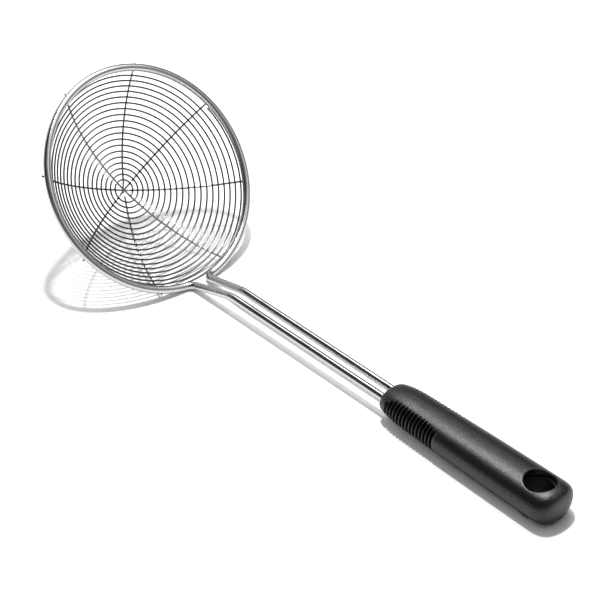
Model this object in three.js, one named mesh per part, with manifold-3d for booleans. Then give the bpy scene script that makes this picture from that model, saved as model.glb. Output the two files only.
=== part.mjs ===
// Wire strainer: a shallow wire bowl in a round rim, on a two-rod neck with a soft grip.
// Millimetres. +X runs from the bowl to the handle's end and +Z is up. The tool lies as on a table:
// the two corners where the neck leaves the rim, and the grip's underside, stand on Z = 0.
import * as THREE from 'three';
import { mergeVertices } from 'three/addons/utils/BufferGeometryUtils.js';
import ManifoldModule from 'manifold-3d';

// Rim and neck rod
const RIM_OUTER_DIAMETER = 127;
const ROD_DIAMETER = 4.3;
const RIM_TILT = THREE.MathUtils.degToRad(48);
const RIM_CENTRE_X = -127.5;
const NECK_SPACING = 8.1;
const CORNER_SPACING = 10.8;
const CORNER_RADIUS = 5;
const NECK_BEND_FROM_RIM_CENTRE = 70.7;
const NECK_BEND_RADIUS = 26;
const ROD_LENGTH_IN_CORE = 52;
const ROD_SIDES = 12;
const RIM_STEPS = 60;
const BEND_STEPS = 6;

// Wire bowl
const BOWL_DEPTH = 27.8;
const SPOKE_DIAMETER = 0.9;
const SPOKE_TIP_PAST_RIM = 0.4;
const SPOKE_STEPS = 36;
const SPOKE_SIDES = 8;
const SPOKES_ACROSS = 4;
const FIRST_SPOKE_ANGLE = Math.PI / 8;
const CROSSING_THICKNESS = 0.5;
const CROSSING_REACH = 5.5;
const CROSSING_FLAT_REACH = 4.4;
const SPIRAL_DIAMETER = 0.8;
const SPIRAL_START = 5.0;
const SPIRAL_PITCH = 3.105;
const SPIRAL_RIM_GAP = 2.0;
const SPIRAL_STEPS_PER_TURN = 24;
const SPIRAL_SIDES = 6;

// Grip
const GRIP_FRONT_FROM_RIM_CENTRE = 184.7;
const GRIP_LENGTH = 113.5;
const GRIP_FRONT_HALF_WIDTH = 11.45;
const GRIP_REAR_HALF_WIDTH = 13.7;
const GRIP_FRONT_ABOVE_ROD = 7.7;
const GRIP_REAR_ABOVE_ROD = 9.05;
const GRIP_FRONT_BELOW_ROD = 7.0;
const GRIP_REAR_BELOW_ROD = 10.2;
const GRIP_UNDERSIDE_FLAT = 0.4;
const GRIP_SWELL_LENGTH = 100;
const GRIP_SECTION_POWER = 2.3;
const GRIP_NOSE_LENGTH = 16;
const GRIP_NOSE_DROP = 0.3;
const GRIP_TAIL_LENGTH = 10.7;
const GRIP_TAIL_PLAN_POWER = 3.0;
const GRIP_TAIL_HEIGHT_POWER = 4.5;
const GRIP_END_FACE_SHARE = 0.995;
const GRIP_SIDES = 32;
const GRIP_NOSE_STEPS = 6;
const GRIP_BODY_STEPS = 10;
const GRIP_TAIL_STEPS = 8;
const HANG_HOLE_FROM_END = 14.5;
const HANG_HOLE_RADIUS = 8.2;
const HOLE_SIDES = 32;

// Fins on both sides of the grip
const FIN_GROOVES = 15;
const FIN_PITCH = 2.32;
const FIN_GROOVE_WIDTH = 1.5;
const FIN_GROOVE_DEPTH = 1.6;
const FIN_PANEL_START = 6.0;
const FIN_PANEL_HEIGHT = 13.8;
const FIN_END_SHORTENING = 0.3;

// Hard core inside the grip
const CORE_WIDTH = 14.2;
const CORE_THICKNESS = 6.2;
const CORE_SETBACK = 5;
const CORE_EYE_HEIGHT = 8.4;
const CORE_EYE_OUTER_RADIUS = 10.4;
const CORE_EYE_INNER_RADIUS = 7.4;

// Clearances between pieces that touch on the real object
const WELD_GAP = 0.2;
const MOULD_GAP = 0.3;

const rodRadius = ROD_DIAMETER / 2;
const rimRadius = RIM_OUTER_DIAMETER / 2 - rodRadius;
const spokeRadius = SPOKE_DIAMETER / 2;
const spiralRadius = SPIRAL_DIAMETER / 2;
const rodAxisHeight = GRIP_REAR_BELOW_ROD - GRIP_UNDERSIDE_FLAT;

// The rim's own directions: toward the neck, across, and out of the bowl's mouth
const toNeck = new THREE.Vector3(Math.cos(RIM_TILT), 0, -Math.sin(RIM_TILT));
const across = new THREE.Vector3(0, 1, 0);
const outOfMouth = new THREE.Vector3(Math.sin(RIM_TILT), 0, Math.cos(RIM_TILT));
const rimCentre = new THREE.Vector3(RIM_CENTRE_X, 0, rimRadius * Math.sin(RIM_TILT) + rodRadius);

// A point of the head: angle round the rim from the neck, distance from the axis, depth below the rim
function headPoint(angle, distance, depth) {
  return rimCentre.clone()
    .addScaledVector(toNeck, distance * Math.cos(angle))
    .addScaledVector(across, distance * Math.sin(angle))
    .addScaledVector(outOfMouth, -depth);
}

// The spokes lie on a ball whose surface passes just outside the rim rod
const spokeToRim = rodRadius + spokeRadius + WELD_GAP;
const bowlBall = findBowlBall();

function findBowlBall() {
  // The ball's centre is on the rim's axis, so the bowl's depth and the contact at the rim give its radius
  let low = rimRadius;
  let high = rimRadius * 4;
  for (let step = 0; step < 60; step += 1) {
    const radius = (low + high) / 2;
    const centreHeight = radius - BOWL_DEPTH;
    const reach = Math.hypot(rimRadius, centreHeight) + spokeToRim;
    if (reach > radius) low = radius;
    else high = radius;
  }
  return { radius: low, centreHeight: low - BOWL_DEPTH };
}

function bowlDepth(distance, inset) {
  return Math.sqrt((bowlBall.radius - inset) ** 2 - distance ** 2) - bowlBall.centreHeight;
}

// Skin a row of rings that have the same number of points, and close both ends
function skin(rings) {
  const sides = rings[0].length;
  const points = rings.flat();
  const faces = [];
  for (let ring = 0; ring + 1 < rings.length; ring += 1) {
    for (let side = 0; side < sides; side += 1) {
      const next = (side + 1) % sides;
      const a = ring * sides + side;
      const b = ring * sides + next;
      faces.push(a, b, b + sides, a, b + sides, a + sides);
    }
  }
  const last = (rings.length - 1) * sides;
  for (let side = 1; side + 1 < sides; side += 1) {
    faces.push(0, side + 1, side, last, last + side, last + side + 1);
  }
  const geometry = new THREE.BufferGeometry().setFromPoints(points);
  geometry.setIndex(faces);
  return geometry;
}

// Sweep a round section along a path. `up` is never along the path; `flatten` thins the section along it.
function sweep(path, radius, sides, up, flatten = () => 1) {
  const rings = path.map((point, station) => {
    const before = path[Math.max(station - 1, 0)];
    const after = path[Math.min(station + 1, path.length - 1)];
    const along = after.clone().sub(before).normalize();
    const side = new THREE.Vector3().crossVectors(along, up).normalize();
    const top = new THREE.Vector3().crossVectors(side, along);
    const ring = [];
    for (let corner = 0; corner < sides; corner += 1) {
      const turn = (corner / sides) * Math.PI * 2;
      ring.push(point.clone()
        .addScaledVector(top, radius * flatten(station) * Math.cos(turn))
        .addScaledVector(side, radius * Math.sin(turn)));
    }
    return ring;
  });
  return skin(rings);
}

// Points of a round bend from `start`, heading `heading`, to `end`, leaving along `leaving`
function bend(start, heading, end, leaving) {
  const turn = heading.angleTo(leaving);
  const radius = start.distanceTo(end) / (2 * Math.sin(turn / 2));
  const reach = (4 / 3) * Math.tan(turn / 4) * radius;
  return new THREE.CubicBezierCurve3(
    start,
    start.clone().addScaledVector(heading, reach),
    end.clone().addScaledVector(leaving, -reach),
    end,
  ).getPoints(BEND_STEPS);
}

// Half of the rod on one side: from its end in the core to the start of the rim
const cornerAngle = Math.asin(CORNER_SPACING / 2 / rimRadius);
const rimStartAngle = cornerAngle + CORNER_RADIUS / rimRadius;
const gripFrontX = RIM_CENTRE_X + GRIP_FRONT_FROM_RIM_CENTRE;
const gripEndX = gripFrontX + GRIP_LENGTH;
const coreFrontX = gripFrontX + CORE_SETBACK;
const rodEndX = coreFrontX + ROD_LENGTH_IN_CORE;

function neckPath(side) {
  const corner = headPoint(side * cornerAngle, rimRadius, 0);
  const bendPoint = new THREE.Vector3(
    RIM_CENTRE_X + NECK_BEND_FROM_RIM_CENTRE, side * NECK_SPACING / 2, rodAxisHeight);
  const towardHead = new THREE.Vector3(-1, 0, 0);
  const downNeck = corner.clone().sub(bendPoint).normalize();
  const bendReach = NECK_BEND_RADIUS * Math.tan(towardHead.angleTo(downNeck) / 2);
  const rimStart = headPoint(side * rimStartAngle, rimRadius, 0);
  const alongRim = across.clone().multiplyScalar(side * Math.cos(rimStartAngle))
    .addScaledVector(toNeck, -Math.sin(rimStartAngle));
  return [
    new THREE.Vector3(rodEndX, bendPoint.y, bendPoint.z),
    ...bend(bendPoint.clone().addScaledVector(towardHead, -bendReach), towardHead,
      bendPoint.clone().addScaledVector(downNeck, bendReach), downNeck),
    ...bend(corner.clone().addScaledVector(downNeck, -CORNER_RADIUS), downNeck, rimStart, alongRim),
  ];
}

// Lower the head until the rod's round corners stand on the table
for (let step = 0; step < 4; step += 1) {
  const lowest = Math.min(...neckPath(1).map((point) => point.z));
  rimCentre.z -= lowest - rodRadius;
}

function rimNeckRod() {
  const rim = [];
  for (let step = 1; step < RIM_STEPS; step += 1) {
    const share = step / RIM_STEPS;
    rim.push(headPoint(rimStartAngle + share * (2 * Math.PI - 2 * rimStartAngle), rimRadius, 0));
  }
  return sweep([...neckPath(1), ...rim, ...neckPath(-1).reverse()], rodRadius, ROD_SIDES, outOfMouth);
}

// 1 at the hub, falling smoothly to 0 at `reach`
function hubShare(distance, reach) {
  const share = Math.min(Math.abs(distance) / reach, 1);
  return (1 + Math.cos(Math.PI * share)) / 2;
}

// One wire across the bowl. The wires are pressed flat where they cross and lie one behind the other.
function spokeWire(order) {
  const angle = FIRST_SPOKE_ANGLE + order * (Math.PI / SPOKES_ACROSS);
  const tip = RIM_OUTER_DIAMETER / 2 + SPOKE_TIP_PAST_RIM;
  const crossingDrop = order * (CROSSING_THICKNESS + WELD_GAP);
  const distances = [];
  for (let step = 0; step <= SPOKE_STEPS; step += 1) {
    const share = (2 * step) / SPOKE_STEPS - 1;
    distances.push(tip * (share + share ** 3) / 2);
  }
  const path = distances.map((distance) => headPoint(
    angle, distance, bowlDepth(distance, 0) + crossingDrop * hubShare(distance, CROSSING_REACH)));
  const pressed = 1 - CROSSING_THICKNESS / SPOKE_DIAMETER;
  const flatten = (station) => 1 - pressed * hubShare(distances[station], CROSSING_FLAT_REACH);
  return sweep(path, spokeRadius, SPOKE_SIDES, outOfMouth, flatten);
}

// The wound wire: equal steps along the bowl's curve for equal turns, from one spoke to another
const spiralInset = spokeRadius + spiralRadius + WELD_GAP;

function spiralPlace(turns) {
  const ball = bowlBall.radius - spiralInset;
  const distance = ball * Math.sin((SPIRAL_START + SPIRAL_PITCH * turns) / ball);
  return { distance, depth: bowlDepth(distance, spiralInset) };
}

// The last turn ends on a spoke, and comes as near to the rim as its gap there lets it
function countSpiralTurns() {
  const spokeStep = 1 / (2 * SPOKES_ACROSS);
  const rimGap = (turns) => {
    const { distance, depth } = spiralPlace(turns);
    return Math.hypot(rimRadius - distance, depth) - rodRadius - spiralRadius;
  };
  let turns = 1;
  while (rimGap(turns + spokeStep) >= SPIRAL_RIM_GAP) turns += spokeStep;
  return turns;
}

function spiralPath() {
  const steps = countSpiralTurns() * SPIRAL_STEPS_PER_TURN;
  const path = [];
  for (let step = 0; step <= steps; step += 1) {
    const turns = step / SPIRAL_STEPS_PER_TURN;
    const { distance, depth } = spiralPlace(turns);
    path.push(headPoint(FIRST_SPOKE_ANGLE + turns * 2 * Math.PI, distance, depth));
  }
  return path;
}

function leastSpiralGap(path) {
  let least = Infinity;
  for (let one = 0; one < path.length; one += 1) {
    for (let other = one + SPIRAL_STEPS_PER_TURN / 2; other < path.length; other += 1) {
      least = Math.min(least, path[one].distanceTo(path[other]));
    }
  }
  return least - SPIRAL_DIAMETER;
}

// Half width of the grip, and its heights above and below the rod's axis, at a distance from its front
function gripSize(fromFront) {
  const { lerp } = THREE.MathUtils;
  const swell = Math.sin((Math.PI / 2) * Math.min(fromFront / GRIP_SWELL_LENGTH, 1));
  const growth = (fromFront / GRIP_LENGTH + swell) / 2;
  const nose = Math.max(1 - fromFront / GRIP_NOSE_LENGTH, 0);
  const noseScale = 1 - GRIP_NOSE_DROP * (1 - Math.sqrt(1 - nose ** 2));
  const tail = Math.max(1 - (GRIP_LENGTH - fromFront) / GRIP_TAIL_LENGTH, 0);
  const planScale = noseScale * (1 - tail ** GRIP_TAIL_PLAN_POWER) ** (1 / GRIP_TAIL_PLAN_POWER);
  const heightScale = noseScale * (1 - tail ** GRIP_TAIL_HEIGHT_POWER) ** (1 / GRIP_TAIL_HEIGHT_POWER);
  return {
    width: planScale * lerp(GRIP_FRONT_HALF_WIDTH, GRIP_REAR_HALF_WIDTH, growth),
    above: heightScale * lerp(GRIP_FRONT_ABOVE_ROD, GRIP_REAR_ABOVE_ROD, growth),
    below: heightScale * lerp(GRIP_FRONT_BELOW_ROD, GRIP_REAR_BELOW_ROD, swell),
  };
}

// Distances from the grip's front at which its section is drawn, closer together toward both ends
function gripStations() {
  const stations = [];
  for (let step = 0; step < GRIP_NOSE_STEPS; step += 1) {
    stations.push(GRIP_NOSE_LENGTH * (1 - Math.cos((step / GRIP_NOSE_STEPS) * (Math.PI / 2))));
  }
  for (let step = 0; step < GRIP_BODY_STEPS; step += 1) {
    const share = step / GRIP_BODY_STEPS;
    stations.push(THREE.MathUtils.lerp(GRIP_NOSE_LENGTH, GRIP_LENGTH - GRIP_TAIL_LENGTH, share));
  }
  for (let step = 0; step <= GRIP_TAIL_STEPS; step += 1) {
    const share = GRIP_END_FACE_SHARE * Math.sin((step / GRIP_TAIL_STEPS) * (Math.PI / 2));
    stations.push(GRIP_LENGTH - GRIP_TAIL_LENGTH * (1 - share));
  }
  return stations;
}

// The grip's outer form, drawn in by `inset` all round. Its underside is level where it stands.
function gripBody(inset) {
  const squared = (value) => Math.sign(value) * Math.abs(value) ** (2 / GRIP_SECTION_POWER);
  return skin(gripStations().map((fromFront) => {
    const { width, above, below } = gripSize(fromFront);
    const ring = [];
    for (let corner = 0; corner < GRIP_SIDES; corner += 1) {
      const turn = ((corner + 0.5) / GRIP_SIDES) * Math.PI * 2;
      const height = turn < Math.PI ? above : below;
      const y = (width - inset) * squared(Math.cos(turn));
      const z = rodAxisHeight + (height - inset) * squared(Math.sin(turn));
      ring.push(new THREE.Vector3(gripFrontX + fromFront, y, Math.max(z, inset)));
    }
    return ring;
  }));
}

const holeX = gripEndX - HANG_HOLE_FROM_END;

// An upright cylinder on the hanging hole's axis, half of it above the rod's axis
function uprightCylinder(radius, height) {
  return new THREE.CylinderGeometry(radius, radius, height, HOLE_SIDES)
    .rotateX(Math.PI / 2)
    .translate(holeX, 0, rodAxisHeight);
}

// A bore for one rod, flat to flat wide enough for the rod's corners
function rodBore(side, startX, endX) {
  const radius = (rodRadius + MOULD_GAP) / Math.cos(Math.PI / ROD_SIDES);
  return new THREE.CylinderGeometry(radius, radius, endX - startX, ROD_SIDES)
    .rotateZ(Math.PI / 2)
    .translate((startX + endX) / 2, side * NECK_SPACING / 2, rodAxisHeight);
}

// Slots between the fins on one side: thin slabs cut to an oval panel
function finSlabs(side) {
  const slabs = [];
  const panelLength = (FIN_GROOVES - 1) * FIN_PITCH;
  for (let groove = 0; groove < FIN_GROOVES; groove += 1) {
    const along = (2 * groove) / (FIN_GROOVES - 1) - 1;
    const height = FIN_PANEL_HEIGHT * (1 - FIN_END_SHORTENING * along ** 6);
    const reach = GRIP_REAR_HALF_WIDTH;
    slabs.push(new THREE.BoxGeometry(FIN_GROOVE_WIDTH, reach, height)
      .translate(
        gripFrontX + FIN_PANEL_START + (along + 1) / 2 * panelLength,
        side * (reach / 2 + GRIP_FRONT_HALF_WIDTH / 2),
        rodAxisHeight,
      ));
  }
  return slabs;
}

const wasm = await ManifoldModule();
wasm.setup();

function solid(geometry) {
  const bare = new THREE.BufferGeometry();
  bare.setAttribute('position', geometry.getAttribute('position'));
  bare.setIndex(geometry.getIndex());
  const merged = mergeVertices(bare, 1e-4);
  return new wasm.Manifold(new wasm.Mesh({
    numProp: 3,
    vertProperties: new Float32Array(merged.getAttribute('position').array),
    triVerts: new Uint32Array(merged.getIndex().array),
  }));
}

function surface(manifold) {
  const mesh = manifold.getMesh();
  const geometry = new THREE.BufferGeometry();
  geometry.setAttribute('position', new THREE.BufferAttribute(mesh.vertProperties, 3));
  geometry.setIndex(new THREE.BufferAttribute(mesh.triVerts, 1));
  return geometry;
}

// The core's outer form, grown by `grow` all round: a bar with a taller round eye at its rear
function coreBlank(grow) {
  const length = holeX - coreFrontX + grow;
  const bar = new THREE.BoxGeometry(length, CORE_WIDTH + 2 * grow, CORE_THICKNESS + 2 * grow)
    .translate(holeX - length / 2, 0, rodAxisHeight);
  const eye = uprightCylinder(CORE_EYE_OUTER_RADIUS + grow, CORE_EYE_HEIGHT + 2 * grow);
  return solid(bar).add(solid(eye));
}

// Tall enough to cut through the grip
const throughHeight = 4 * rodAxisHeight;

function handleCore() {
  let core = coreBlank(0).subtract(solid(uprightCylinder(CORE_EYE_INNER_RADIUS, throughHeight)));
  for (const side of [1, -1]) {
    core = core.subtract(solid(rodBore(side, coreFrontX - MOULD_GAP, rodEndX + MOULD_GAP)));
  }
  return surface(core);
}

function handleGrip() {
  let grip = solid(gripBody(0))
    .subtract(coreBlank(MOULD_GAP))
    .subtract(solid(uprightCylinder(HANG_HOLE_RADIUS, throughHeight)));
  const underFins = solid(gripBody(FIN_GROOVE_DEPTH));
  for (const side of [1, -1]) {
    grip = grip.subtract(solid(rodBore(side, gripFrontX - MOULD_GAP, coreFrontX + MOULD_GAP)));
    for (const slab of finSlabs(side)) grip = grip.subtract(solid(slab).subtract(underFins));
  }
  return surface(grip);
}

const polishedSteel = { color: 0xc9cbcc, metalness: 1, roughness: 0.12 };
const drawnWire = { color: 0xb4b6b8, metalness: 1, roughness: 0.25 };
const hardPlastic = { color: 0x161616, metalness: 0, roughness: 0.5 };
const softRubber = { color: 0x2c2c2d, metalness: 0, roughness: 0.6 };

const strainer = new THREE.Group();
strainer.name = 'strainer';

function addPiece(name, geometry, finish) {
  geometry.computeVertexNormals();
  const mesh = new THREE.Mesh(geometry, new THREE.MeshStandardMaterial(finish));
  mesh.name = name;
  strainer.add(mesh);
}

addPiece('rim_neck_rod', rimNeckRod(), polishedSteel);
for (let order = 0; order < SPOKES_ACROSS; order += 1) {
  addPiece(`spoke_wire_${order + 1}`, spokeWire(order), drawnWire);
}
const windings = spiralPath();
addPiece('spiral_wire', sweep(windings, spiralRadius, SPIRAL_SIDES, outOfMouth), drawnWire);
addPiece('handle_core', handleCore(), hardPlastic);
addPiece('handle_grip', handleGrip(), softRubber);

console.log(`least gap between turns of the spiral wire: ${leastSpiralGap(windings).toFixed(2)} mm`);

export default strainer;
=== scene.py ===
# Wire strainer: a polished rod bent into rim and neck, a wire bowl, and a soft black grip with fins.
# Metres, +X from the bowl to the handle's end, +Z up, lying on Z = 0 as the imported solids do.
import math

import bmesh
import bpy
from mathutils import Matrix, Vector
from mathutils.geometry import interpolate_bezier


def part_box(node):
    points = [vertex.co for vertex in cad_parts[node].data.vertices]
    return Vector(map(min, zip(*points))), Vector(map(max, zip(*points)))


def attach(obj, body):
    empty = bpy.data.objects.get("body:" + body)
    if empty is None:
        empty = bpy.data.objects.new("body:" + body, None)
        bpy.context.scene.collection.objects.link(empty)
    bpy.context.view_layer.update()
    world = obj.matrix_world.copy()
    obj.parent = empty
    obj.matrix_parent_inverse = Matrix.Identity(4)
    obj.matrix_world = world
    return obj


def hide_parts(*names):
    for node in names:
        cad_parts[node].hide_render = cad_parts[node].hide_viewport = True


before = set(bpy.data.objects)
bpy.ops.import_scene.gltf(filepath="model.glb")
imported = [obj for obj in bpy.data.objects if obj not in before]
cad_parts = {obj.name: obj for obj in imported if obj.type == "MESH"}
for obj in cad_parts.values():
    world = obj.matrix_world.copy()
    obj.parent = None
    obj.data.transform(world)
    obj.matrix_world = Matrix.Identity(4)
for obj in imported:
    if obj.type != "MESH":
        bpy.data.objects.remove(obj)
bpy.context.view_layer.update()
MM = 0.001

# Rim and neck rod
ROD_RADIUS = 2.15 * MM
RIM_RADIUS = 61.35 * MM
RIM_TILT = math.radians(48)
RIM_CENTRE = Vector((-127.5, 0, 47.2)) * MM
NECK_SPACING = 8.1 * MM
CORNER_SPACING = 10.8 * MM
CORNER_RADIUS = 5 * MM
NECK_BEND_X = RIM_CENTRE.x + 70.7 * MM
NECK_BEND_RADIUS = 26 * MM
BEND_STEPS = 16
ROD_AXIS_HEIGHT = 9.8 * MM
ROD_END_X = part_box("rim_neck_rod")[1].x

# Wire bowl. Its wires are 0.2 mm thicker than the solids, to take as much light away as real ones.
BOWL_DEPTH = 27.7 * MM
SPOKE_RADIUS = 0.55 * MM
SPOKE_TIP_PAST_RIM = 0.4 * MM
FIRST_SPOKE_ANGLE = math.radians(22.5)
SPOKES_ACROSS = 4
CROSSING_THICKNESS = 0.5 * MM
CROSSING_REACH = 5.5 * MM
SPIRAL_RADIUS = 0.5 * MM
SPIRAL_START = 4.4 * MM
SPIRAL_PITCH = 3.213 * MM
SPIRAL_TURNS = 19.25
SPIRAL_CLOSING = 0.48 * MM
WELD_SINK = 0.1 * MM

# Grip and core
GRIP_FRONT_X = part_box("handle_grip")[0].x
GRIP_LENGTH = 113.5 * MM
GRIP_FRONT_WIDTH, GRIP_REAR_WIDTH = 11.45 * MM, 13.7 * MM
GRIP_FRONT_ABOVE, GRIP_REAR_ABOVE = 7.7 * MM, 9.05 * MM
GRIP_FRONT_BELOW, GRIP_REAR_BELOW = 7.0 * MM, 10.2 * MM
GRIP_SWELL_LENGTH = 100 * MM
GRIP_SECTION_POWER = 2.3
GRIP_NOSE_LENGTH = 16 * MM
GRIP_NOSE_DROP = 0.3
GRIP_TAIL_LENGTH = 10.7 * MM
GRIP_TAIL_PLAN_POWER = 3.0
GRIP_TAIL_HEIGHT_POWER = 4.5
GRIP_SIDES = 200
HOLE_X = GRIP_FRONT_X + GRIP_LENGTH - 14.5 * MM
HOLE_RADIUS = 8.2 * MM
HOLE_MARGIN = 3 * MM
HOLE_EDGE_ROUNDING = 0.7 * MM
HOLE_LOWER_EDGE_HEIGHT = 0.2 * MM
CORE_SIZE = Vector((14.2, 6.2)) * MM
CORE_FRONT_X = GRIP_FRONT_X + 5 * MM
CORE_EYE_HEIGHT = 8.4 * MM
CORE_EYE_OUTER_RADIUS = 10.4 * MM
CORE_EYE_INNER_RADIUS = 7.4 * MM
CORE_BAR_STOP = 1 * MM

# Fins on both sides of the grip
FIN_GROOVES = 15
FIN_PITCH = 2.32 * MM
FIN_GROOVE_WIDTH = 1.7 * MM
FIN_GROOVE_DEPTH = 1.9 * MM
FIN_EDGE_ROUNDING = 0.14 * MM
FIN_WALL_SPREAD = 3.4
FIN_PANEL_START = 6.0 * MM
FIN_PANEL_HEIGHT = 13.8 * MM
FIN_FRONT_SHORTENING, FIN_REAR_SHORTENING = 0.3, 0.08

# View of the photograph, as a 600 x 600 frame
FRAME_PIXELS = 600
RIM_CENTRE_PIXEL = Vector((149.4, 177.8))
PIXELS_PER_METRE = 1867
VIEW_AZIMUTH = math.radians(44.122)
VIEW_ELEVATION = math.radians(36.3)
VIEW_ROLL = math.radians(3.201)
VIEW_DISTANCE = 1.3
SENSOR_WIDTH = 36

# Light: two lamps, then the room's levels. Heights and sides are those of a unit vector into the room.
KEY_PLACE = Vector((-0.385, 0.178, 1.66))
KEY_DIAMETER = 0.12
KEY_POWER = 18
SOFTBOX_PLACE = Vector((-0.25, 0.33, 0.8))
SOFTBOX_LENGTH, SOFTBOX_DEPTH = 0.5, 0.24
SOFTBOX_POWER = 2.2
FILL_LEFT_LEVEL, FILL_RIGHT_LEVEL = 0.72, 0.02
BACK_LEFT_LEVEL, BACK_RIGHT_LEVEL = 0.12, 0.3
BACK_LEFT_SIDE, BACK_RIGHT_SIDE = 0.0, 0.35
CEILING_LEVEL = 1.15
CEILING_EDGE_HEIGHT, CEILING_FULL_HEIGHT = 0.56, 0.76
FRONT_LEFT_LEVEL, FRONT_RIGHT_LEVEL = 0.04, 0.16
FRONT_LEFT_SIDE, FRONT_RIGHT_SIDE = -0.1, 0.5
HORIZON_LEVEL = 0.15
HORIZON_HEIGHT = 0.3
FRONT_ENDS, BACK_STARTS = -0.1, 0.2
LEFT_WALL_LEVEL = 0.7
LEFT_WALL_SIDE, LEFT_WALL_EDGE = -0.82, -0.72
FLOOR_COLOUR = 0.9
FLOOR_COLOUR_MIRRORED = 1.0
FLOOR_COLOUR_SHOWN = 1.26

TO_NECK = Vector((math.cos(RIM_TILT), 0, -math.sin(RIM_TILT)))
ACROSS = Vector((0, 1, 0))
OUT_OF_MOUTH = Vector((math.sin(RIM_TILT), 0, math.cos(RIM_TILT)))


# Materials

def linear(hex_colour):
    """An sRGB hex colour as linear red, green, blue and alpha."""
    parts = [int(hex_colour[place:place + 2], 16) / 255 for place in (1, 3, 5)]
    return [part / 12.92 if part <= 0.04045 else ((part + 0.055) / 1.055) ** 2.4
            for part in parts] + [1]


def add(tree, kind, inputs=None, **settings):
    """Add a node with its settings. An input is a plain value or another node's output."""
    made = tree.nodes.new(kind)
    for name, value in settings.items():
        setattr(made, name, value)
    for name, value in (inputs or {}).items():
        if isinstance(value, bpy.types.NodeSocket):
            tree.links.new(value, made.inputs[name])
        else:
            made.inputs[name].default_value = value
    return made


def new_material(name):
    """An empty material, its node tree and its output node."""
    material = bpy.data.materials.new(name)
    material.use_nodes = True
    tree = material.node_tree
    tree.nodes.clear()
    return material, tree, add(tree, "ShaderNodeOutputMaterial")


def per_mm(size):
    """The scale of a texture whose features are about that many millimetres wide."""
    return 1 / (size * MM)


def steel(name, colour, roughness, streak_mm, bump_mm, lengthwise):
    """Stainless steel. Its fine finish breaks reflections up a little, and handling leaves it uneven.

    `lengthwise` draws the highlights out along the rod, as polishing round it does. A wire is so thin that
    the render shows only the mean of what it mirrors, so wires get a darker colour than the rod: painted
    shade that stands in for the dark room the wires mirror.
    """
    material, tree, output = new_material(name)
    place = add(tree, "ShaderNodeTexCoord").outputs["Object"]
    smudge = add(tree, "ShaderNodeTexNoise", {"Vector": place, "Scale": per_mm(9), "Detail": 3.0})
    grain = add(tree, "ShaderNodeTexNoise", {
        "Vector": place, "Scale": per_mm(streak_mm), "Detail": 2.0})
    gloss = add(tree, "ShaderNodeMapRange", {
        "Value": smudge.outputs["Fac"], "From Min": 0.3, "From Max": 0.7,
        "To Min": roughness * 0.8, "To Max": roughness * 1.25})
    bump = add(tree, "ShaderNodeBump", {
        "Height": grain.outputs["Fac"], "Strength": 0.08, "Distance": bump_mm * MM})
    shader = add(tree, "ShaderNodeBsdfPrincipled", {
        "Base Color": linear(colour), "Metallic": 1.0, "Anisotropic": lengthwise,
        "Tangent": add(tree, "ShaderNodeAttribute", attribute_name="heading").outputs["Vector"],
        "Roughness": gloss.outputs["Result"], "Normal": bump.outputs["Normal"]})
    tree.links.new(shader.outputs["BSDF"], output.inputs["Surface"])
    return material


def moulded_rubber():
    """Soft thermoplastic rubber from a finely eroded mould: near black, satin, speckled by its grain.

    The grain is drawn coarser than the mould leaves it, so that it shows in the render.
    """
    material, tree, output = new_material("thermoplastic_rubber_moulded_satin")
    place = add(tree, "ShaderNodeTexCoord").outputs["Object"]
    cloud = add(tree, "ShaderNodeTexNoise", {"Vector": place, "Scale": per_mm(14), "Detail": 4.0})
    grain = add(tree, "ShaderNodeTexNoise", {"Vector": place, "Scale": per_mm(0.5), "Detail": 2.0})
    tone = add(tree, "ShaderNodeValToRGB", {"Fac": grain.outputs["Fac"]})
    tone.color_ramp.elements[0].position = 0.35
    tone.color_ramp.elements[0].color = linear("#080809")
    tone.color_ramp.elements[1].position = 0.65
    tone.color_ramp.elements[1].color = linear("#161617")
    gloss = add(tree, "ShaderNodeMapRange", {
        "Value": cloud.outputs["Fac"], "From Min": 0.3, "From Max": 0.7,
        "To Min": 0.29, "To Max": 0.33})
    shine = add(tree, "ShaderNodeMapRange", {
        "Value": grain.outputs["Fac"], "From Min": 0.35, "From Max": 0.65,
        "To Min": 0.36, "To Max": 0.8})
    bump = add(tree, "ShaderNodeBump", {
        "Height": grain.outputs["Fac"], "Strength": 0.6, "Distance": 0.22 * MM})
    shader = add(tree, "ShaderNodeBsdfPrincipled", {
        "Base Color": tone.outputs["Color"], "Roughness": gloss.outputs["Result"],
        "Specular IOR Level": shine.outputs["Result"], "Normal": bump.outputs["Normal"]})
    tree.links.new(shader.outputs["BSDF"], output.inputs["Surface"])
    return material


def moulded_polypropylene():
    """Hard black polypropylene as it leaves the mould: a little duller than the rubber round it."""
    material, tree, output = new_material("polypropylene_moulded_black")
    place = add(tree, "ShaderNodeTexCoord").outputs["Object"]
    cloud = add(tree, "ShaderNodeTexNoise", {"Vector": place, "Scale": per_mm(6), "Detail": 3.0})
    gloss = add(tree, "ShaderNodeMapRange", {
        "Value": cloud.outputs["Fac"], "To Min": 0.5, "To Max": 0.65})
    shader = add(tree, "ShaderNodeBsdfPrincipled", {
        "Base Color": linear("#0d0d0d"), "Roughness": gloss.outputs["Result"],
        "Specular IOR Level": 0.3})
    tree.links.new(shader.outputs["BSDF"], output.inputs["Surface"])
    return material


# Meshes

def head_point(angle, distance, depth):
    """A point of the head: angle round from the neck, distance from the axis, depth below the rim."""
    return (RIM_CENTRE + TO_NECK * (distance * math.cos(angle)) + ACROSS * (distance * math.sin(angle))
            - OUT_OF_MOUTH * depth)


def find_bowl_ball():
    """Radius of the ball that the spokes lie on, which touches the outside of the rim rod."""
    reach = ROD_RADIUS + SPOKE_RADIUS - WELD_SINK
    return (RIM_RADIUS ** 2 + BOWL_DEPTH ** 2 - reach ** 2) / (2 * (BOWL_DEPTH - reach))


BOWL_BALL = find_bowl_ball()


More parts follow.
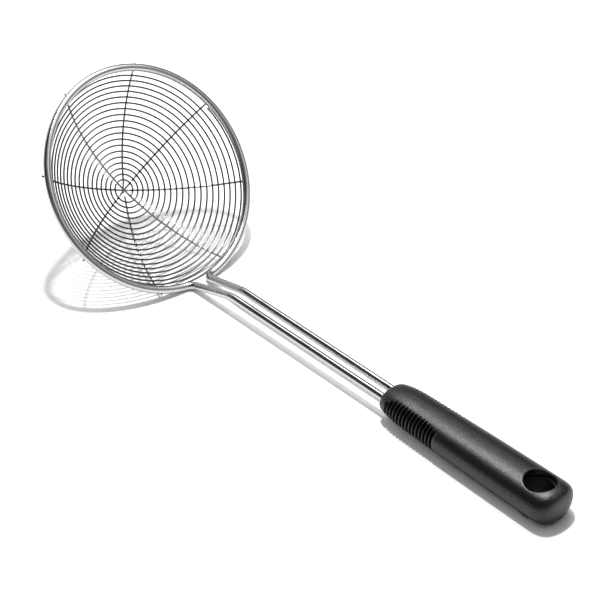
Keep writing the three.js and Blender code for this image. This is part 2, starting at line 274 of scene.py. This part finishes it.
def bowl_depth(distance, inset):
    return math.sqrt((BOWL_BALL - inset) ** 2 - distance ** 2) - (BOWL_BALL - BOWL_DEPTH)


def new_piece(name, bm, material, slot, *nodes, sharp=40):
    """Turn a finished mesh into a piece that rides on the one body and stands for its CAD nodes."""
    bmesh.ops.recalc_face_normals(bm, faces=bm.faces)
    mesh = bpy.data.meshes.new(name)
    bm.to_mesh(mesh)
    bm.free()
    mesh.materials.append(material)
    mesh.shade_smooth()
    mesh.set_sharp_from_angle(angle=math.radians(sharp))
    piece = bpy.data.objects.new(name, mesh)
    bpy.context.scene.collection.objects.link(piece)
    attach(piece, "root")
    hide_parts(*nodes)
    return piece


def extrude_ring(bm, edges, matrix):
    """Extrude a ring of edges, move the new ring by a matrix, and return its edges."""
    made = bmesh.ops.extrude_edge_only(bm, edges=edges)["geom"]
    verts = {item for item in made if isinstance(item, bmesh.types.BMVert)}
    bmesh.ops.transform(bm, matrix=matrix, verts=list(verts))
    return [item for item in made
            if isinstance(item, bmesh.types.BMEdge) and verts.issuperset(item.verts)]


def draw_rod(path, radius, sides, flatten=None):
    """A round section drawn along a path, point by point. `flatten` thins it along the bowl's axis.

    The attribute "heading" keeps the way that the rod runs at each point.
    """
    headings = [(path[min(place + 1, len(path) - 1)] - path[max(place - 1, 0)]).normalized()
                for place in range(len(path))]

    def section(place):
        side = headings[place].cross(OUT_OF_MOUTH).normalized()
        top = side.cross(headings[place])
        thin = flatten[place] if flatten else 1
        axes = Matrix((side, top * thin, headings[place])).transposed().to_4x4()
        return Matrix.Translation(path[place]) @ axes

    bm = bmesh.new()
    bmesh.ops.create_circle(bm, cap_ends=True, segments=sides, radius=radius, matrix=section(0))
    edges = bm.edges[:]
    for place in range(1, len(path)):
        edges = extrude_ring(bm, edges, section(place) @ section(place - 1).inverted())
    bmesh.ops.contextual_create(bm, geom=edges)
    heading = bm.verts.layers.float_vector.new("heading")
    bm.verts.index_update()
    for vert in bm.verts:
        vert[heading] = headings[vert.index // sides]
    return bm


def bend(start, heading, end, leaving, steps):
    """Points of a round bend from one straight to another."""
    turn = heading.angle(leaving)
    radius = (end - start).length / (2 * math.sin(turn / 2))
    reach = 4 / 3 * math.tan(turn / 4) * radius
    return interpolate_bezier(start, start + heading * reach, end - leaving * reach, end, steps)


def neck_path(side):
    """Half of the neck: from the rod's end in the grip to the start of the rim."""
    corner_angle = math.asin(CORNER_SPACING / 2 / RIM_RADIUS)
    rim_start_angle = side * (corner_angle + CORNER_RADIUS / RIM_RADIUS)
    corner = head_point(side * corner_angle, RIM_RADIUS, 0)
    bend_point = Vector((NECK_BEND_X, side * NECK_SPACING / 2, ROD_AXIS_HEIGHT))
    to_head = Vector((-1, 0, 0))
    down_neck = (corner - bend_point).normalized()
    bend_reach = NECK_BEND_RADIUS * math.tan(to_head.angle(down_neck) / 2)
    rim_start = head_point(rim_start_angle, RIM_RADIUS, 0)
    along_rim = (ACROSS * math.cos(rim_start_angle) - TO_NECK * math.sin(rim_start_angle)) * side
    return [
        Vector((ROD_END_X, bend_point.y, bend_point.z)),
        *bend(bend_point - to_head * bend_reach, to_head,
              bend_point + down_neck * bend_reach, down_neck, BEND_STEPS),
        *bend(corner - down_neck * CORNER_RADIUS, down_neck, rim_start, along_rim, BEND_STEPS),
    ], rim_start_angle


def build_rod(material):
    left, start = neck_path(1)
    right, _ = neck_path(-1)
    steps = 240
    sweep = 2 * math.pi - 2 * start
    rim = [head_point(start + step / steps * sweep, RIM_RADIUS, 0) for step in range(1, steps)]
    new_piece("rim_and_neck", draw_rod(left + rim + right[::-1], ROD_RADIUS, 32), material,
              "polished_rod", "rim_neck_rod")


def hub_share(distance, reach):
    """1 at the hub, falling smoothly to 0 at `reach`."""
    return (1 + math.cos(math.pi * min(abs(distance) / reach, 1))) / 2


def build_spokes(material):
    """The wires across the bowl, pressed flat where they cross one behind the other."""
    steps = 160
    tip = RIM_RADIUS + ROD_RADIUS + SPOKE_TIP_PAST_RIM
    distances = [tip * (2 * step / steps - 1) for step in range(steps + 1)]
    pressed = 1 - CROSSING_THICKNESS / (2 * SPOKE_RADIUS)
    flatten = [1 - pressed * hub_share(distance, CROSSING_REACH * 0.8) for distance in distances]
    for order in range(SPOKES_ACROSS):
        angle = FIRST_SPOKE_ANGLE + order * math.pi / SPOKES_ACROSS
        drop = order * (CROSSING_THICKNESS - WELD_SINK)
        path = [head_point(angle, distance,
                           bowl_depth(distance, 0) + drop * hub_share(distance, CROSSING_REACH))
                for distance in distances]
        new_piece(f"spoke_{order + 1}", draw_rod(path, SPOKE_RADIUS, 12, flatten), material,
                  "drawn_wire", f"spoke_wire_{order + 1}")


def build_spiral(material):
    """One wire wound on the spokes. Its turns lie a little closer at the middle and at the rim."""
    inset = SPOKE_RADIUS + SPIRAL_RADIUS - WELD_SINK
    ball = BOWL_BALL - inset
    steps_per_turn = 90
    path = []
    for step in range(int(SPIRAL_TURNS * steps_per_turn) + 1):
        turns = step / steps_per_turn
        closing = SPIRAL_CLOSING * math.sin(2 * math.pi * turns / SPIRAL_TURNS)
        distance = ball * math.sin((SPIRAL_START + SPIRAL_PITCH * turns - closing) / ball)
        angle = FIRST_SPOKE_ANGLE + turns * 2 * math.pi
        path.append(head_point(angle, distance, bowl_depth(distance, inset)))
    new_piece("spiral", draw_rod(path, SPIRAL_RADIUS, 10), material, "drawn_wire", "spiral_wire")


def mix(one, other, share):
    return one + (other - one) * share


def grip_size(from_front):
    """Half width of the grip and its heights above and below the rod's axis, so far from its front."""
    swell = math.sin(math.pi / 2 * min(from_front / GRIP_SWELL_LENGTH, 1))
    growth = (from_front / GRIP_LENGTH + swell) / 2
    nose = max(1 - from_front / GRIP_NOSE_LENGTH, 0)
    nose_scale = 1 - GRIP_NOSE_DROP * (1 - math.sqrt(max(1 - nose ** 2, 0)))
    tail = min(max(1 - (GRIP_LENGTH - from_front) / GRIP_TAIL_LENGTH, 0), 1)
    plan_scale = nose_scale * (1 - tail ** GRIP_TAIL_PLAN_POWER) ** (1 / GRIP_TAIL_PLAN_POWER)
    height_scale = nose_scale * (1 - tail ** GRIP_TAIL_HEIGHT_POWER) ** (1 / GRIP_TAIL_HEIGHT_POWER)
    return (plan_scale * mix(GRIP_FRONT_WIDTH, GRIP_REAR_WIDTH, growth),
            height_scale * mix(GRIP_FRONT_ABOVE, GRIP_REAR_ABOVE, growth),
            height_scale * mix(GRIP_FRONT_BELOW, GRIP_REAR_BELOW, swell))


def groove_place(groove):
    return FIN_PANEL_START + groove * FIN_PITCH


def grip_stations():
    """Distances from the front at which the grip's section is drawn, closer where its form changes."""
    half = FIN_GROOVE_WIDTH / 2
    first = groove_place(0) - half - FIN_EDGE_ROUNDING
    last = groove_place(FIN_GROOVES - 1) + half + FIN_EDGE_ROUNDING
    hole = HOLE_X - HOLE_RADIUS - HOLE_MARGIN - GRIP_FRONT_X
    tail = GRIP_LENGTH - GRIP_TAIL_LENGTH
    almost_whole_tail = GRIP_TAIL_LENGTH * 0.9998
    stations = [first * (1 - math.cos(step / 16 * math.pi / 2)) for step in range(16)]
    for groove in range(FIN_GROOVES):
        for inward in (-1.0, -0.4, 0.3, 1.2, 2.4, 4.0):
            for side in (-1, 1):
                stations.append(groove_place(groove) + side * (half - inward * FIN_EDGE_ROUNDING))
        if groove:
            stations.append(groove_place(groove - 0.5))
    stations += [mix(last, hole, step / 30) for step in range(1, 30)]
    stations += [mix(hole, tail, step / 24) for step in range(24)]
    stations += [tail + almost_whole_tail * math.sin(step / 44 * math.pi / 2) for step in range(45)]
    return sorted(stations)


def build_grip(material):
    """A section drawn through its stations, then given its size at each, its fins and its hole."""
    stations = grip_stations()
    bm = bmesh.new()
    upright = Matrix.Translation((GRIP_FRONT_X, 0, 0)) @ Matrix.Rotation(math.pi / 2, 4, "Y")
    bmesh.ops.create_circle(bm, cap_ends=True, segments=GRIP_SIDES, radius=1, matrix=upright)
    edges = bm.edges[:]
    for before, here in zip(stations, stations[1:]):
        edges = extrude_ring(bm, edges, Matrix.Translation((here - before, 0, 0)))
    bmesh.ops.contextual_create(bm, geom=edges)
    for vert in bm.verts:
        width, above, below = grip_size(vert.co.x - GRIP_FRONT_X)
        y, z = (math.copysign(abs(value) ** (2 / GRIP_SECTION_POWER), value) for value in vert.co.yz)
        vert.co.yz = width * y, ROD_AXIS_HEIGHT + (above if z > 0 else below) * z
    bmesh.ops.recalc_face_normals(bm, faces=bm.faces)
    bm.normal_update()
    cut_fins(bm)
    for vert in bm.verts:
        vert.co.z = max(vert.co.z, 0)
    cut_hanging_hole(bm)
    new_piece("soft_grip", bm, material, "soft_grip", "handle_grip", sharp=50)


def cut_fins(bm):
    """Press round-ended grooves into both sides of the grip and leave the fins between them."""
    half = FIN_GROOVE_WIDTH / 2
    for vert in bm.verts:
        from_front = vert.co.x - GRIP_FRONT_X
        groove = round((from_front - FIN_PANEL_START) / FIN_PITCH)
        if not 0 <= groove < FIN_GROOVES:
            continue
        along = 2 * groove / (FIN_GROOVES - 1) - 1
        shortening = FIN_FRONT_SHORTENING if along < 0 else FIN_REAR_SHORTENING
        half_height = FIN_PANEL_HEIGHT / 2 * (1 - shortening * along ** 6)
        past_end = max(abs(vert.co.z - ROD_AXIS_HEIGHT) - (half_height - half), 0)
        inside = half - math.hypot(from_front - groove_place(groove), past_end)
        share = min(max(inside / FIN_EDGE_ROUNDING + 1, 0) / FIN_WALL_SPREAD, 1)
        vert.co -= vert.normal * FIN_GROOVE_DEPTH * (share ** 2 if share < 0.5 else share)


def cut_hanging_hole(bm):
    """Open the upright hole at the rear, with rounded edges, and line it."""
    edge_radius = HOLE_RADIUS + HOLE_EDGE_ROUNDING
    middle = Matrix.Translation((HOLE_X, 0, 0))

    def from_axis(point):
        return math.hypot(point.x - HOLE_X, point.y)

    inner = [face for face in bm.faces if from_axis(face.calc_center_median()) < edge_radius]
    bmesh.ops.delete(bm, geom=inner, context="FACES")
    rims = []
    for upper in (True, False):
        edges = [edge for edge in bm.edges if edge.is_boundary
                 and (edge.verts[0].co.z > ROD_AXIS_HEIGHT) == upper]
        for vert in {vert for edge in edges for vert in edge.verts}:
            reach = edge_radius / from_axis(vert.co)
            vert.co.x = HOLE_X + (vert.co.x - HOLE_X) * reach
            vert.co.y *= reach
            width, above, below = grip_size(vert.co.x - GRIP_FRONT_X)
            rise = (1 - (abs(vert.co.y) / width) ** GRIP_SECTION_POWER) ** (1 / GRIP_SECTION_POWER)
            vert.co.z = ROD_AXIS_HEIGHT + above * rise if upper else HOLE_LOWER_EDGE_HEIGHT
        radius, depth = edge_radius, 0
        for step in range(1, 7):
            turn = step / 6 * math.pi / 2
            next_radius = edge_radius - HOLE_EDGE_ROUNDING * math.sin(turn)
            next_depth = HOLE_EDGE_ROUNDING * (1 - math.cos(turn))
            shrink = Matrix.Diagonal((next_radius / radius, next_radius / radius, 1, 1))
            sink = Matrix.Translation((0, 0, (depth - next_depth) * (1 if upper else -1)))
            edges = extrude_ring(bm, edges, sink @ middle @ shrink @ middle.inverted())
            radius, depth = next_radius, next_depth
        rims += edges
    bmesh.ops.bridge_loops(bm, edges=rims)


def build_core(material):
    """The hard core: a bar that holds the rod's ends, and an eye that shows in the hanging hole."""
    bm = bmesh.new()
    bar_end = HOLE_X - CORE_EYE_INNER_RADIUS - CORE_BAR_STOP
    bar_size = (bar_end - CORE_FRONT_X, CORE_SIZE.x, CORE_SIZE.y)
    middle = Vector(((bar_end + CORE_FRONT_X) / 2, 0, ROD_AXIS_HEIGHT))
    bar_place = Matrix.Translation(middle) @ Matrix.Diagonal((*bar_size, 1))
    bmesh.ops.create_cube(bm, size=1, matrix=bar_place)
    half = CORE_EYE_HEIGHT / 2
    profile = [bm.verts.new((HOLE_X + radius, 0, ROD_AXIS_HEIGHT + height))
               for radius, height in ((CORE_EYE_INNER_RADIUS, -half), (CORE_EYE_OUTER_RADIUS, -half),
                                      (CORE_EYE_OUTER_RADIUS, half), (CORE_EYE_INNER_RADIUS, half))]
    section = [bm.edges.new((profile[place], profile[(place + 1) % 4])) for place in range(4)]
    bmesh.ops.spin(bm, geom=profile + section, cent=(HOLE_X, 0, 0), axis=(0, 0, 1), angle=2 * math.pi,
                   steps=96, use_merge=True)
    bmesh.ops.remove_doubles(bm, verts=bm.verts, dist=1e-6)
    new_piece("hard_core", bm, material, "hard_core", "handle_core")


# Stage, light and camera

def build_stage():
    """A white floor. The camera sees it white but for the object's shadow, and steel mirrors it pale."""
    bm = bmesh.new()
    bmesh.ops.create_circle(bm, cap_ends=True, segments=64, radius=4)
    mesh = bpy.data.meshes.new("floor")
    bm.to_mesh(mesh)
    bm.free()
    floor = bpy.data.objects.new("floor", mesh)
    bpy.context.scene.collection.objects.link(floor)
    material, tree, output = new_material("white_paper_sweep")
    seen = add(tree, "ShaderNodeLightPath")
    mirrored = add(tree, "ShaderNodeMapRange", {
        "Value": seen.outputs["Is Glossy Ray"],
        "To Min": FLOOR_COLOUR, "To Max": FLOOR_COLOUR_MIRRORED})
    white = add(tree, "ShaderNodeMapRange", {
        "Value": seen.outputs["Is Camera Ray"],
        "To Min": mirrored.outputs["Result"], "To Max": FLOOR_COLOUR_SHOWN})
    paper = add(tree, "ShaderNodeBsdfDiffuse", {"Color": white.outputs["Result"]})
    tree.links.new(paper.outputs[0], output.inputs["Surface"])
    mesh.materials.append(material)


def hang_lamp(name, shape, place, power, *size):
    """A lamp that hangs over the object and shines straight down."""
    lamp = bpy.data.lights.new(name, "AREA")
    lamp.shape = shape
    lamp.energy = power
    lamp.size = size[0]
    lamp.size_y = size[-1]
    holder = bpy.data.objects.new(name, lamp)
    holder.location = place
    holder.visible_camera = False
    bpy.context.scene.collection.objects.link(holder)


def build_light():
    """A small key lamp and a softbox overhead, in a room whose fill comes mostly from the left.

    What steel and rubber mirror of the room is dark round the camera and pale above, behind and far left.
    """
    hang_lamp("key_lamp", "DISK", KEY_PLACE, KEY_POWER, KEY_DIAMETER)
    hang_lamp("softbox", "RECTANGLE", SOFTBOX_PLACE, SOFTBOX_POWER, SOFTBOX_LENGTH, SOFTBOX_DEPTH)
    world = bpy.data.worlds.new("studio")
    bpy.context.scene.world = world
    world.use_nodes = True
    tree = world.node_tree
    tree.nodes.clear()
    seen = add(tree, "ShaderNodeLightPath")
    way = add(tree, "ShaderNodeSeparateXYZ", {
        "Vector": add(tree, "ShaderNodeTexCoord").outputs["Generated"]})
    front_wall = add(tree, "ShaderNodeMapRange", {
        "Value": way.outputs["X"], "From Min": FRONT_LEFT_SIDE, "From Max": FRONT_RIGHT_SIDE,
        "To Min": FRONT_LEFT_LEVEL, "To Max": FRONT_RIGHT_LEVEL}, interpolation_type="SMOOTHSTEP")
    front = add(tree, "ShaderNodeMapRange", {
        "Value": way.outputs["Z"], "From Min": 0.0, "From Max": HORIZON_HEIGHT,
        "To Min": HORIZON_LEVEL, "To Max": front_wall.outputs["Result"]}, interpolation_type="SMOOTHSTEP")
    back_wall = add(tree, "ShaderNodeMapRange", {
        "Value": way.outputs["X"], "From Min": BACK_LEFT_SIDE, "From Max": BACK_RIGHT_SIDE,
        "To Min": BACK_LEFT_LEVEL, "To Max": BACK_RIGHT_LEVEL}, interpolation_type="SMOOTHSTEP")
    back = add(tree, "ShaderNodeMapRange", {
        "Value": way.outputs["Z"], "From Min": CEILING_EDGE_HEIGHT, "From Max": CEILING_FULL_HEIGHT,
        "To Min": back_wall.outputs["Result"], "To Max": CEILING_LEVEL}, interpolation_type="SMOOTHSTEP")
    behind = add(tree, "ShaderNodeMapRange", {
        "Value": way.outputs["Y"], "From Min": FRONT_ENDS, "From Max": BACK_STARTS},
        interpolation_type="SMOOTHSTEP")
    walls = add(tree, "ShaderNodeMix", {
        "Factor": behind.outputs["Result"], "A": front.outputs["Result"], "B": back.outputs["Result"]},
        data_type="FLOAT")
    mirrored = add(tree, "ShaderNodeMapRange", {
        "Value": way.outputs["X"], "From Min": LEFT_WALL_SIDE, "From Max": LEFT_WALL_EDGE,
        "To Min": LEFT_WALL_LEVEL, "To Max": walls.outputs["Result"]}, interpolation_type="SMOOTHSTEP")
    fill = add(tree, "ShaderNodeMapRange", {
        "Value": way.outputs["X"], "From Min": -1.0, "From Max": 1.0,
        "To Min": FILL_LEFT_LEVEL, "To Max": FILL_RIGHT_LEVEL})
    level = add(tree, "ShaderNodeMix", {
        "Factor": seen.outputs["Is Glossy Ray"],
        "A": fill.outputs["Result"], "B": mirrored.outputs["Result"]}, data_type="FLOAT")
    studio = add(tree, "ShaderNodeBackground", {
        "Color": (1, 1, 1, 1), "Strength": level.outputs["Result"]})
    white = add(tree, "ShaderNodeBackground", {"Color": (1, 1, 1, 1)})
    shown = add(tree, "ShaderNodeMixShader", {
        0: seen.outputs["Is Camera Ray"], 1: studio.outputs[0], 2: white.outputs[0]})
    add(tree, "ShaderNodeOutputWorld", {"Surface": shown.outputs[0]})


def build_camera():
    ahead = Vector((-math.sin(VIEW_AZIMUTH) * math.cos(VIEW_ELEVATION),
                    math.cos(VIEW_AZIMUTH) * math.cos(VIEW_ELEVATION), -math.sin(VIEW_ELEVATION)))
    level = Vector((math.cos(VIEW_AZIMUTH), math.sin(VIEW_AZIMUTH), 0))
    upright = level.cross(ahead)
    right = level * math.cos(VIEW_ROLL) + upright * math.sin(VIEW_ROLL)
    up = upright * math.cos(VIEW_ROLL) - level * math.sin(VIEW_ROLL)
    offset = (RIM_CENTRE_PIXEL - Vector((FRAME_PIXELS / 2, FRAME_PIXELS / 2))) / PIXELS_PER_METRE
    lens = bpy.data.cameras.new("camera")
    lens.sensor_width = SENSOR_WIDTH
    lens.lens = SENSOR_WIDTH * PIXELS_PER_METRE * VIEW_DISTANCE / FRAME_PIXELS
    lens.clip_start, lens.clip_end = 0.05, 20
    camera = bpy.data.objects.new("camera", lens)
    bpy.context.scene.collection.objects.link(camera)
    camera.matrix_world = Matrix((right, up, -ahead)).transposed().to_4x4()
    camera.location = RIM_CENTRE - ahead * VIEW_DISTANCE - right * offset.x + up * offset.y
    bpy.context.scene.camera = camera


def main():
    bpy.context.scene.view_settings.view_transform = "Standard"
    build_rod(steel("stainless_steel_ground_and_polished", "#d6d5d3",
                    roughness=0.16, streak_mm=0.5, bump_mm=0.01, lengthwise=0.9))
    # The wires' steel colours are darker than the rod's: painted shade for the dark room the thin wires
    # mirror, darkest on the spiral.
    build_spokes(steel("stainless_steel_spoke_wire_painted_shade", "#a2a2a0",
                       roughness=0.15, streak_mm=0.3, bump_mm=0.01, lengthwise=0))
    build_spiral(steel("stainless_steel_spiral_wire_painted_shade", "#6c6c6a",
                       roughness=0.2, streak_mm=0.3, bump_mm=0.01, lengthwise=0))
    build_grip(moulded_rubber())
    build_core(moulded_polypropylene())
    build_stage()
    build_light()
    build_camera()


main()
